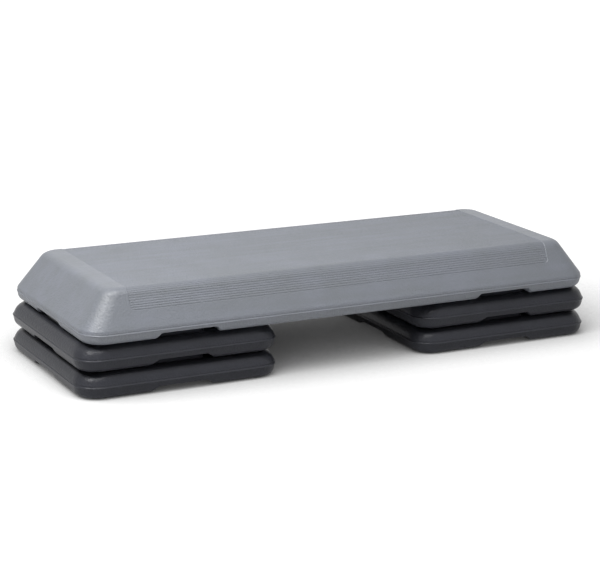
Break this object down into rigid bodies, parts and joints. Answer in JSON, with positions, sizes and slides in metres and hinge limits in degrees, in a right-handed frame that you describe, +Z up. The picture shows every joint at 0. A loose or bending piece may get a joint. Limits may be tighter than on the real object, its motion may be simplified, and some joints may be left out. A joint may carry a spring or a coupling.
{
  "type": "aerobic step",
  "caption": "Aerobic step: a grooved, sloped blow-moulded platform standing on stacked square ring risers that key into its underside.",
  "frame": {"origin": "on the floor, under the middle of the platform", "axes": "+X along the platform, +Y across it to the back, +Z up"},
  "size_m": [1.1124, 0.412, 0.1982],
  "materials": {
    "platform_plastic": "satin grained polyethylene, mid grey",
    "riser_plastic": "satin polyethylene, charcoal",
    "foot_rubber": "matt black rubber"
  },
  "bodies": {
    "base_risers": {"riser_left_lower": "riser_plastic", "riser_left_lower_foot_front_left": "foot_rubber", "riser_left_lower_foot_front_right": "foot_rubber", "riser_left_lower_foot_back_left": "foot_rubber", "riser_left_lower_foot_back_right": "foot_rubber", "riser_right_lower": "riser_plastic", "riser_right_lower_foot_front_left": "foot_rubber", "riser_right_lower_foot_front_right": "foot_rubber", "riser_right_lower_foot_back_left": "foot_rubber", "riser_right_lower_foot_back_right": "foot_rubber"},
    "left_upper_riser": {"riser_left_upper": "riser_plastic", "riser_left_upper_foot_front_left": "foot_rubber", "riser_left_upper_foot_front_right": "foot_rubber", "riser_left_upper_foot_back_left": "foot_rubber", "riser_left_upper_foot_back_right": "foot_rubber"},
    "right_upper_riser": {"riser_right_upper": "riser_plastic", "riser_right_upper_foot_front_left": "foot_rubber", "riser_right_upper_foot_front_right": "foot_rubber", "riser_right_upper_foot_back_left": "foot_rubber", "riser_right_upper_foot_back_right": "foot_rubber"},
    "platform_unit": {"platform": "platform_plastic", "platform_foot_front_left": "foot_rubber", "platform_foot_front_right": "foot_rubber", "platform_foot_back_left": "foot_rubber", "platform_foot_back_right": "foot_rubber"}
  },
  "joints": [
    {"name": "left_upper_riser_lift", "type": "slide", "parent": "base_risers", "child": "left_upper_riser", "axis": [0, 0, 1], "range_m": [0, 0.06]},
    {"name": "right_upper_riser_lift", "type": "slide", "parent": "base_risers", "child": "right_upper_riser", "axis": [0, 0, 1], "range_m": [0, 0.06]},
    {"name": "platform_lift", "type": "slide", "parent": "left_upper_riser", "child": "platform_unit", "axis": [0, 0, 1], "range_m": [0, 0.1]}
  ],
  "couplings": [
    {"joint": "right_upper_riser_lift", "follows": "left_upper_riser_lift", "ratio": 1}
  ]
}
